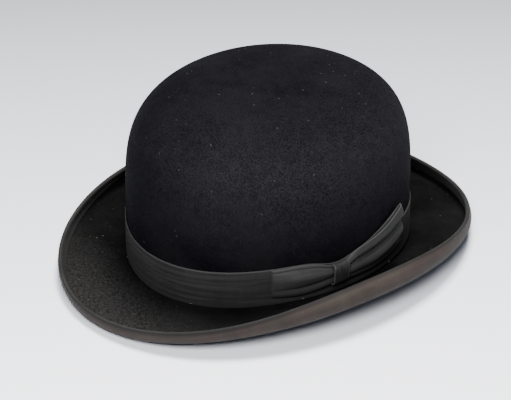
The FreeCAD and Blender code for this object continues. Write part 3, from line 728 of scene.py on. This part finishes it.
def bow_knot():
    """A rounded box section wrapped across the bow, narrower in its middle, with slanting creases."""
    columns, rows = 96, 48
    turn = round_angles(columns)[:, None]
    side = np.linspace(-1, 1, rows)[None, :]
    tall = squared_off(np.sin(turn), 0.62)
    deep = squared_off(np.cos(turn), 0.7)
    waist = 1 - 0.07 * (1 - side ** 2) - 0.1 * side ** 8
    front = np.clip(deep, 0, 1)
    slant = side * 1.15 + tall * 0.75
    crease = sum(np.exp(-((slant - middle) / 0.2) ** 2) for middle in (-0.8, 0.25))
    ridge = sum(np.exp(-((slant - middle) / 0.42) ** 2) for middle in (-0.28, 0.85))
    out = KNOT_OUT + deep * KNOT_HALF_DEEP * waist + front * (0.0005 * ridge - 0.0005 * crease)
    up = KNOT_UP + tall * KNOT_HALF_TALL * waist + 0.0006 * side
    along = side * KNOT_HALF_WIDE + 0.0004 * tall
    points = on_band(along, up, out)
    wide = 2 * KNOT_HALF_WIDE
    piece = make_piece("bow_knot_ribbon", points, along=np.linspace(0, 0.05, columns + 1),
                       across=np.linspace(0, wide, rows))
    ribbon_thickness(piece, BOW_RIBBON, even=False)
    # 0.78 paints the knot darker than the band: painted shade.
    dress(piece, black_ribbon_material("knot_grosgrain", wide, 0.78, 0.6, 0.08), "bow_knot")


front_loop()
rear_fan()
bow_knot()


# Band tacks.  Short black stitches that hold the band to the crown, just above its lower edge.
THREAD = 0.00022


def angle_at(length):
    """The angle reached after a length round the oval, positive towards the back."""
    fine = np.linspace(-2 * np.pi, 4 * np.pi, 6001)
    return np.interp(length, length_round(fine), fine)


def threads(name, middles, length, out, up):
    """Short threads along the oval: each a round section whose ends taper and dip towards the cloth.

    `out` and `up` give a point's distance outside the oval and its height from its angle.
    """
    share = np.linspace(-1, 1, 7)[None, :, None]
    turn = round_angles(6)[None, None, :]
    girth = THREAD * np.sqrt(np.clip(1 - share ** 4, 0, 1))
    angle = angle_at(middles[:, None, None] + share * length / 2)
    height = break_height(angle) + up + girth * np.sin(turn)
    points = place(angle, out + girth * np.cos(turn), height)
    copies, rows, sides = points.shape[:3]
    columns = np.swapaxes(points, 1, 2)
    corners = lay_faces(sides, rows, True)[0]
    corners = (corners[None] + np.arange(copies)[:, None, None] * sides * rows).reshape(-1, 4)
    mesh = bpy.data.meshes.new(name)
    mesh.from_pydata(columns.reshape(-1, 3), [], corners.tolist())
    mesh.polygons.foreach_set("use_smooth", np.ones(len(corners), dtype=bool))
    piece = bpy.data.objects.new(name, mesh)
    bpy.context.scene.collection.objects.link(piece)
    close_poles(piece)
    return piece


def thread_material(name, dark, light):
    """Twisted sewing thread: fine strands slanting across it on object coordinates."""
    material, tree, shader = new_material(name, 0.6, sheen=0.1)
    place_in = object_place(tree)
    strands = noise(tree, place_in, 3800.0, 2.0, 0.6)
    paint(tree, shader, blend(tree, remap(tree, strands, 0.3, 0.7), dark, light))
    raise_grain(tree, shader, strands, 0.5, 0.0001)
    return material


def even_lengths(count):
    """Equal lengths round the hat, the first half a step from the back."""
    whole = length_round(2 * np.pi)
    return length_round(BACK) + whole * (np.arange(count) + 0.5) / count


def band_tacks():
    """Eight short stitches at equal lengths, lying on the band near its lower edge."""
    out = BAND_FACE + THREAD + 0.00008
    piece = threads("band_tack_stitches", even_lengths(8), 0.002, out, BAND_FOOT + 0.001)
    material = thread_material("black_thread", (0.009, 0.009, 0.009, 1), (0.03, 0.03, 0.03, 1))
    dress(piece, material, "band_tacks")


band_tacks()


# Sweatband.  A strip of tan leather that lines the head opening and leans towards the felt.
# Its lower edge is rolled round a reed, turned up behind and stitched all round.
LEATHER = 0.0008
LEATHER_TALL, LEATHER_LEAN, TURNUP = 0.0440, 0.0020, 0.0070
LINING_THICK = 0.00035
LINING_INSET = FELT_THICK + 0.00025 + LINING_THICK / 2
TURNUP_INSET = LINING_INSET + LINING_THICK / 2 + LEATHER / 2
REED_RADIUS = 0.0010
REED_INSET = TURNUP_INSET + LEATHER / 2 + 0.000125 + REED_RADIUS
ROLL = REED_INSET - TURNUP_INSET
REED_UP = ROLL + LEATHER / 2 - FELT_THICK / 2 + 0.0002
LEATHER_TILT = np.arctan2(LEATHER_LEAN, LEATHER_TALL - REED_UP)


def leather_material(name, shade=1.0):
    """Vegetable-tanned calf: pebbled grain, darker where it was handled, with fine creases up it."""
    material, tree, shader = new_material(name, 0.48)
    place_in = object_place(tree)
    pebble = add(tree, "ShaderNodeTexVoronoi", {"feature": "SMOOTH_F1"}, Vector=place_in, Scale=1500.0)
    pores = noise(tree, place_in, 2600.0, 2.0, 0.6)
    cloud = noise(tree, place_in, 28.0, 4.0, 0.6)
    stain = noise(tree, place_in, 75.0, 3.0, 0.65)
    upright = scaled(tree, place_in, (1.0, 1.0, 0.12))
    creases = noise(tree, upright, 210.0, 3.0, 0.6)
    dark = (0.205 * shade, 0.098 * shade, 0.040 * shade, 1)
    light = (0.335 * shade, 0.178 * shade, 0.082 * shade, 1)
    tan = blend(tree, remap(tree, cloud, 0.3, 0.7), dark, light)
    stained = blend(tree, remap(tree, stain, 0.5, 0.78, 0.0, 0.55), tan, (0.105, 0.05, 0.022, 1))
    pits = remap(tree, pebble.outputs["Distance"], 0.35, 0.75, 0.0, 0.4)
    pitted = blend(tree, pits, stained, (0.09, 0.042, 0.018, 1))
    paint(tree, shader, pitted)
    tree.links.new(remap(tree, stain, 0.3, 0.75, 0.42, 0.6), shader.inputs["Roughness"])
    hollows = times(tree, pebble.outputs["Distance"], -1.0)
    grain = math(tree, "ADD", hollows, times(tree, pores, 0.35))
    relief = math(tree, "ADD", grain, times(tree, creases, 1.2))
    raise_grain(tree, shader, relief, 0.4, 0.00016)
    return material


def leather_inset(up):
    """Inset of the wall's middle line at a height above the break: a straight lean from its foot."""
    return REED_INSET + ROLL - LEATHER_LEAN * (up - REED_UP) / (LEATHER_TALL - REED_UP)


def sweatband():
    """A leaning wall, an arc under the reed and a short turned-up edge, as one section round the oval."""
    columns = 360
    angle = round_angles(columns)[:, None]
    wall_up = np.linspace(LEATHER_TALL, REED_UP, 26)[None, :]
    ripple = wander(2 * angle, 0.00022, 0.5) * np.clip((wall_up - 0.012) / 0.032, 0, 1)
    top_wave = wander(angle, 0.0004, 2.0) * np.clip((wall_up - 0.03) / 0.014, 0, 1)
    wall = place(angle, -leather_inset(wall_up) + ripple, break_height(angle) + wall_up + top_wave)
    heading = -LEATHER_TILT + (LEATHER_TILT - np.pi) * np.linspace(0, 1, 12)[None, 1:]
    reed_height = break_height(angle) + REED_UP
    roll = place(angle, -REED_INSET - ROLL * np.cos(heading), reed_height + ROLL * np.sin(heading))
    turned = place(angle, -TURNUP_INSET, reed_height + TURNUP * np.linspace(0, 1, 5)[None, 1:])
    points = np.concatenate([wall, roll, turned], axis=1)
    across = running_length(points[0])
    piece = make_piece("sweatband_leather", points, along=seam_lengths(columns), across=across)
    ribbon_thickness(piece, LEATHER)
    edge = piece.modifiers.new("soft_edges", "BEVEL")
    edge.width = 0.00022
    edge.segments = 2
    edge.limit_method = "ANGLE"
    dress(piece, leather_material("tan_leather"), "sweatband")


def closed_cord(name, centre, radius, angle):
    """A round cord: circles of a radius about the closed line centre, in the plane of out and up."""
    turn = round_angles(14)[None, :]
    across, along = outward(angle)
    flat = np.stack([across, along, 0 * across], axis=-1)
    upright = np.array([0.0, 0.0, 1.0])
    spokes = flat[:, None] * np.cos(turn)[..., None] + upright * np.sin(turn)[..., None]
    points = centre[:, None] + radius * spokes
    points = np.concatenate([points, points[:, :1]], axis=1)
    piece = make_piece(name, points, along=seam_lengths(len(angle)),
                       across=np.linspace(0, 2 * np.pi * radius, 15))
    close_poles(piece)
    return piece


def cane_material():
    """Split cane: pale straw with long darker fibres along it."""
    material, tree, shader = new_material("cane", 0.5)
    flat = own_uv(tree)
    fibres = noise(tree, scaled(tree, flat, (0.06, 1.0, 1.0)), 3200.0, 3.0, 0.6)
    colour = blend(tree, remap(tree, fibres, 0.3, 0.7), (0.30, 0.20, 0.09, 1), (0.56, 0.43, 0.23, 1))
    paint(tree, shader, colour)
    raise_grain(tree, shader, fibres, 0.4, 0.0001)
    return material


def sweatband_reed():
    """A round cane all round the head opening, inside the sweatband's roll."""
    angle = round_angles(360)
    centre = place(angle, -REED_INSET, break_height(angle) + REED_UP)
    piece = closed_cord("sweatband_reed_cane", centre, REED_RADIUS, angle)
    dress(piece, cane_material(), "sweatband_reed")


def sweatband_stitches():
    """One row of 72 stitches on the sweatband's face, just above the reed."""
    up = 0.0054
    out = -(leather_inset(up) + LEATHER / 2 + THREAD * 0.75)
    piece = threads("sweatband_stitch_row", even_lengths(72), 0.0026, out, up)
    material = thread_material("pale_thread", (0.46, 0.4, 0.3, 1), (0.7, 0.64, 0.52, 1))
    dress(piece, material, "sweatband_stitches")


sweatband()
sweatband_reed()
sweatband_stitches()


# What lies on the sweatband.  A leather strip covers its joint at the back, with a small ribbon bow
# below, and a blank paper ticket is tucked against it on the wearer's right.
def on_leather(middle_angle, across, up, clear):
    """A point on the sweatband's face: a length across from an angle, a height and a clearance."""
    angle = angle_at(length_round(middle_angle) + across)
    return place(angle, -(leather_inset(up) + LEATHER / 2 + clear), break_height(angle) + up)


def rounded_sheet(name, middle_angle, wide, tall, up, clear, thick, curl=0.0):
    """A thin rectangle with rounded corners, lying on the leather; its ends may curl away from it."""
    across = np.linspace(-1, 1, 25)[:, None]
    rise = np.linspace(-1, 1, 33)[None, :]
    corner = 1 - 0.06 * np.clip(np.abs(rise) - 0.86, 0, 1) / 0.14 * np.abs(across) ** 6
    flat_across = across * corner * wide / 2
    flat_up = up + rise * tall / 2 * (1 - 0.02 * np.abs(across) ** 8)
    lifted = clear + thick / 2 + curl * (rise ** 4) * (0.5 + 0.5 * across)
    points = on_leather(middle_angle, flat_across, flat_up, lifted)
    piece = make_piece(name, points, around=False, along=across[:, 0] * wide / 2, across=rise[0] * tall / 2)
    ribbon_thickness(piece, thick)
    return piece


def ticket_material():
    """Aged paper: cream with faint fibres and browner blotches."""
    material, tree, shader = new_material("ticket_paper", 0.85)
    place_in = object_place(tree)
    fibres = noise(tree, place_in, 1800.0, 4.0, 0.7)
    blotch = noise(tree, place_in, 160.0, 3.0, 0.6)
    cream = blend(tree, remap(tree, fibres, 0.3, 0.7), (0.62, 0.54, 0.40, 1), (0.76, 0.69, 0.55, 1))
    aged = blend(tree, remap(tree, blotch, 0.5, 0.75, 0.0, 0.5), cream, (0.45, 0.33, 0.19, 1))
    paint(tree, shader, aged)
    raise_grain(tree, shader, fibres, 0.25, 0.0001)
    return material


def trim_material():
    """Narrow dark brown ribbon with ribs across it."""
    material, tree, shader = new_material("trim_ribbon", 0.5, sheen=0.2)
    yarn = ribbon_nodes(tree, shader, 0.008, 0.0005, 0.5)[1]
    brown = blend(tree, remap(tree, yarn, 0.25, 0.8), (0.045, 0.02, 0.011, 1), (0.1, 0.05, 0.028, 1))
    paint(tree, shader, brown)
    return material


def sweatband_bow():
    """Two flattened loops from a waist and a wrapped knot: closed sections along the bow."""
    up, clear, half_wide = 0.014, 0.00075, 0.0095
    share = np.linspace(-1, 1, 61)[:, None]
    turn = round_angles(24)[None, :]
    swell = np.clip(np.abs(share), 0, 1)
    tall = 0.0016 + 0.0024 * swell ** 0.8
    closing = np.sqrt(np.clip(1 - np.clip((swell - 0.9) / 0.1, 0, 1) ** 2, 0, 1))
    deep = (0.0005 + 0.0002 * np.sin(np.pi * swell)) * closing
    wave = squared_off(np.sin(turn), 0.8)
    front = np.clip(np.cos(turn), 0, 1)
    crease = 0.00016 * np.cos(5 * np.arcsin(np.clip(wave, -1, 1))) * (1 - swell) * front
    lift = clear + 0.0007 + deep * np.cos(turn) + crease
    towards_camera_right = share * half_wide * (1 - 0.04 * wave ** 2)
    points = on_leather(BACK, towards_camera_right, up + tall * wave * (0.35 + 0.65 * closing), lift)
    loops = make_piece("sweatband_bow_loops", np.concatenate([points, points[:, :1]], axis=1), around=False,
                       along=share[:, 0] * half_wide, across=np.linspace(0, 0.016, 25))
    close_poles(loops, 1e-6)
    side = np.linspace(-1, 1, 15)[None, :]
    around = round_angles(28)[:, None]
    box_up = squared_off(np.sin(around), 0.6)
    box_out = squared_off(np.cos(around), 0.6)
    shrink = 1 - 0.14 * side ** 6
    knot_points = on_leather(BACK, side * 0.002 + 0 * box_up, up + box_up * 0.0024 * shrink,
                             clear + 0.0011 + box_out * 0.00105 * shrink)
    knot = make_piece("sweatband_bow_knot", knot_points, along=np.linspace(0, 0.014, 29),
                      across=(side[0] + 1) * 0.002)
    ribbon_thickness(knot, 0.00022)
    material = trim_material()
    for piece in (loops, knot):
        dress(piece, material, "sweatband_bow")


def leather_trimmings():
    """The strip over the sweatband's joint, and the ticket tucked in on the wearer's right."""
    strip = rounded_sheet("joint_strip_leather", BACK, 0.006, 0.034, 0.024, 0.00014, 0.0004)
    dress(strip, leather_material("joint_leather", 0.72), "sweatband_joint_strip")
    ticket = rounded_sheet("blank_ticket", np.pi, 0.014, 0.010, 0.026, 0.0002, 0.00025, 0.0003)
    dress(ticket, ticket_material(), "size_ticket")


leather_trimmings()
sweatband_bow()


# Lining.  Cream satin in two parts: a side piece gathered into the seam, and an oval tip.
# A corded piping covers the seam between them.
SEAM_TURN = np.radians(36.0)
HALF_SEAM = np.radians(0.25)
PIPING_RADIUS = 0.0009


def satin_material(name, gathered):
    """Cream satin: fine threads along the piece, a soft shine and yellowing in soft patches."""
    material, tree, shader = new_material(name, 0.36, sheen=0.25)
    place_in = object_place(tree)
    flat = own_uv(tree) if gathered else place_in
    warp = noise(tree, scaled(tree, flat, (1.0, 0.05, 1.0)), 2600.0, 2.0, 0.6)
    weft = noise(tree, scaled(tree, flat, (0.05, 1.0, 1.0)), 2600.0, 2.0, 0.6)
    age = noise(tree, place_in, 22.0, 4.0, 0.65)
    cream = blend(tree, remap(tree, warp, 0.3, 0.7), (0.60, 0.53, 0.41, 1), (0.72, 0.66, 0.54, 1))
    yellowed = blend(tree, remap(tree, age, 0.48, 0.78, 0.0, 0.6), cream, (0.44, 0.33, 0.19, 1))
    paint(tree, shader, yellowed)
    threads_up = math(tree, "ADD", warp, times(tree, weft, 0.5))
    wrinkles = noise(tree, place_in, 60.0, 3.0, 0.5)
    raise_grain(tree, shader, math(tree, "ADD", threads_up, times(tree, wrinkles, 6.0)), 0.3, 0.0001)
    return material


def lining_side():
    """The crown's own surface set in by the felt, with gathers that deepen inward towards the seam."""
    columns = 720
    angle = round_angles(columns)[:, None]
    low = np.arcsin((0.010 / 0.128) ** (DOME_FULLNESS / 2))
    rise = np.linspace(np.sin(low) ** (2 / DOME_FULLNESS), 0.8, 22)
    turn = np.concatenate([np.arcsin(rise ** (DOME_FULLNESS / 2)), np.linspace(0, 1, 24)])
    start = turn[21]
    turn[22:] = start + (SEAM_TURN - HALF_SEAM - start) * np.linspace(0, 1, 25)[1:]
    share = ((turn - turn[0]) / (turn[-1] - turn[0]))[None, :]
    gathers = 0.5 + 0.5 * np.sin(110 * angle + 5 * np.sin(4 * angle) + 3 * np.sin(9 * angle + 1))
    slow = 0.5 + 0.5 * np.sin(23 * angle + 2 * np.sin(3 * angle))
    depth = 0.0007 * share ** 1.5 + 0.00025 * slow * np.clip(share * 4, 0, 1)
    points = on_crown(angle, turn[None, :], LINING_INSET + depth * gathers)
    across = running_length(points[0])
    piece = make_piece("lining_side_satin", points, along=seam_lengths(columns), across=across)
    ribbon_thickness(piece, LINING_THICK)
    dress(piece, satin_material("side_satin", True), "lining_side")


def lining_tip():
    """The crown's top set in by the felt, slack by a shallow dimple, closed at its middle."""
    columns = 240
    angle = round_angles(columns)[:, None]
    turn = np.pi / 2 + (SEAM_TURN + HALF_SEAM - np.pi / 2) * np.linspace(0, 1, 40)[None, :]
    slack = 0.0006 * np.cos(turn) * (1 + wander(angle, 0.8, 1.9)) * np.sin((turn - SEAM_TURN) * 2)
    points = on_crown(angle, turn, LINING_INSET + np.abs(slack))
    piece = make_piece("lining_tip_satin", points, along=seam_lengths(columns),
                       across=np.linspace(0, 0.09, 40))
    close_poles(piece, 1e-6)
    ribbon_thickness(piece, LINING_THICK)
    dress(piece, satin_material("tip_satin", False), "lining_tip")


def piping_material():
    """Satin-covered cord: a slanting twist of shine along it."""
    material, tree, shader = new_material("piping_satin", 0.38, sheen=0.2)
    flat = own_uv(tree)
    part = add(tree, "ShaderNodeSeparateXYZ", None, Vector=flat)
    slant = math(tree, "ADD", part.outputs["X"], part.outputs["Y"])
    twist = math(tree, "SINE", times(tree, slant, 2 * np.pi / 0.0018))
    soft = math(tree, "MULTIPLY_ADD", twist, 0.5)
    shine = remap(tree, twist, -1.0, 1.0)
    paint(tree, shader, blend(tree, shine, (0.46, 0.38, 0.26, 1), (0.68, 0.61, 0.48, 1)))
    raise_grain(tree, shader, soft, 0.5, 0.0002)
    return material


def lining_piping():
    """A round cord over the seam between the two parts of the lining."""
    angle = round_angles(480)
    inset = LINING_INSET + LINING_THICK / 2 + PIPING_RADIUS + 0.00012
    centre = on_crown(angle, np.full_like(angle, SEAM_TURN), inset + 0.0006)
    piece = closed_cord("lining_piping_cord", centre, PIPING_RADIUS, angle)
    dress(piece, piping_material(), "lining_piping")


lining_side()
lining_tip()
lining_piping()


# Stage.  A pale seamless floor, a large soft light almost overhead and a little behind, a smaller one in
# front just left of the camera, a faint blue sky, and a camera at the hat's front left, a little above it.
def stage_material():
    """A pale matt sheet, painted greyer and darker far behind the hat than in front of it: painted shade in
    place of the light falling off behind.
    """
    material, tree, shader = new_material("pale_floor", 0.85, 0.2)
    behind = measured_along(tree, object_place(tree), (-float(VIEW_FROM[0]), -float(VIEW_FROM[1]), 0.0))
    # Painted shade: from pale in front to nearly black about half a metre behind the hat.
    far = remap(tree, behind, -0.30, 0.55)
    paint(tree, shader, blend(tree, far, (0.88, 0.90, 0.97, 1), (0.046, 0.056, 0.066, 1)))
    return material


def sweep_floor():
    """A flat floor that turns up smoothly far behind the hat."""
    across = np.linspace(-6, 6, 3)
    ahead = np.concatenate([np.linspace(-5, 1.6, 12), 1.6 + 1.2 * np.sin(np.linspace(0, np.pi / 2, 20))[1:]])
    up = np.concatenate([np.zeros(12), 1.2 * (1 - np.cos(np.linspace(0, np.pi / 2, 20))[1:])])
    ahead, up = np.append(ahead, ahead[-1]), np.append(up, 5.0)
    behind = Vector(VIEW_FROM[:2]) * -1
    side = Vector((behind.y, -behind.x))
    x = across[:, None] * side.x + ahead[None, :] * behind.x
    y = across[:, None] * side.y + ahead[None, :] * behind.y
    points = np.stack(np.broadcast_arrays(x, y, up[None, :]), axis=-1)
    floor = make_piece("floor", points, around=False)
    floor.data.materials.append(stage_material())


CAMERA_AZIMUTH, CAMERA_ELEVATION = np.radians(52.2), np.radians(30.52)
CAMERA_DISTANCE = 1.5
CAMERA_LENS = 156.1
AIM_RIGHT, AIM_UP, AIM_HEIGHT = -0.0090, -0.0318, 0.075


def heading_to(azimuth, elevation):
    """Unit vector at a compass direction, 0 at the hat's front and positive to its left, and a height."""
    level = np.cos(elevation)
    return np.array([np.sin(azimuth) * level, -np.cos(azimuth) * level, np.sin(elevation)])


VIEW_FROM = heading_to(CAMERA_AZIMUTH, CAMERA_ELEVATION)


def place_camera():
    """A long lens aimed a little beside the hat's middle, which puts the hat where it stands in the view."""
    camera = bpy.data.objects.new("camera", bpy.data.cameras.new("camera"))
    bpy.context.scene.collection.objects.link(camera)
    view = Vector(VIEW_FROM)
    right = Vector((np.cos(CAMERA_AZIMUTH), np.sin(CAMERA_AZIMUTH), 0))
    up = view.cross(right)
    aim = Vector((0, OVAL_MIDDLE, AIM_HEIGHT)) + right * AIM_RIGHT + up * AIM_UP
    turn = Matrix((right, up, view)).transposed()
    camera.matrix_world = Matrix.Translation(aim + view * CAMERA_DISTANCE) @ turn.to_4x4()
    camera.data.lens = CAMERA_LENS
    camera.data.sensor_width = 36.0
    camera.data.clip_end = 50
    bpy.context.scene.camera = camera


def soft_light(name, azimuth, elevation, distance, size, power, colour):
    """A square soft light that faces the hat from a compass direction and a height angle."""
    light = bpy.data.lights.new(name, "AREA")
    light.size = size
    light.energy = power
    light.color = colour
    lamp = bpy.data.objects.new(name, light)
    bpy.context.scene.collection.objects.link(lamp)
    towards = Vector(heading_to(azimuth, elevation))
    facing = towards.to_track_quat("Z", "Y").to_matrix().to_4x4()
    lamp.matrix_world = Matrix.Translation(towards * distance) @ facing


def world_light():
    """An even, faint blue light from every side."""
    world = bpy.data.worlds.new("studio")
    world.use_nodes = True
    background = world.node_tree.nodes["Background"]
    background.inputs["Color"].default_value = (0.66, 0.78, 1.0, 1)
    background.inputs["Strength"].default_value = 0.24
    bpy.context.scene.world = world


place_camera()
sweep_floor()
world_light()
soft_light("overhead", CAMERA_AZIMUTH + np.radians(155), np.radians(79), 2.0, 0.66, 140.0,
           (1.0, 0.985, 0.955))
soft_light("front", CAMERA_AZIMUTH - np.radians(8), np.radians(44), 1.35, 0.5, 37.0, (1.0, 0.985, 0.97))
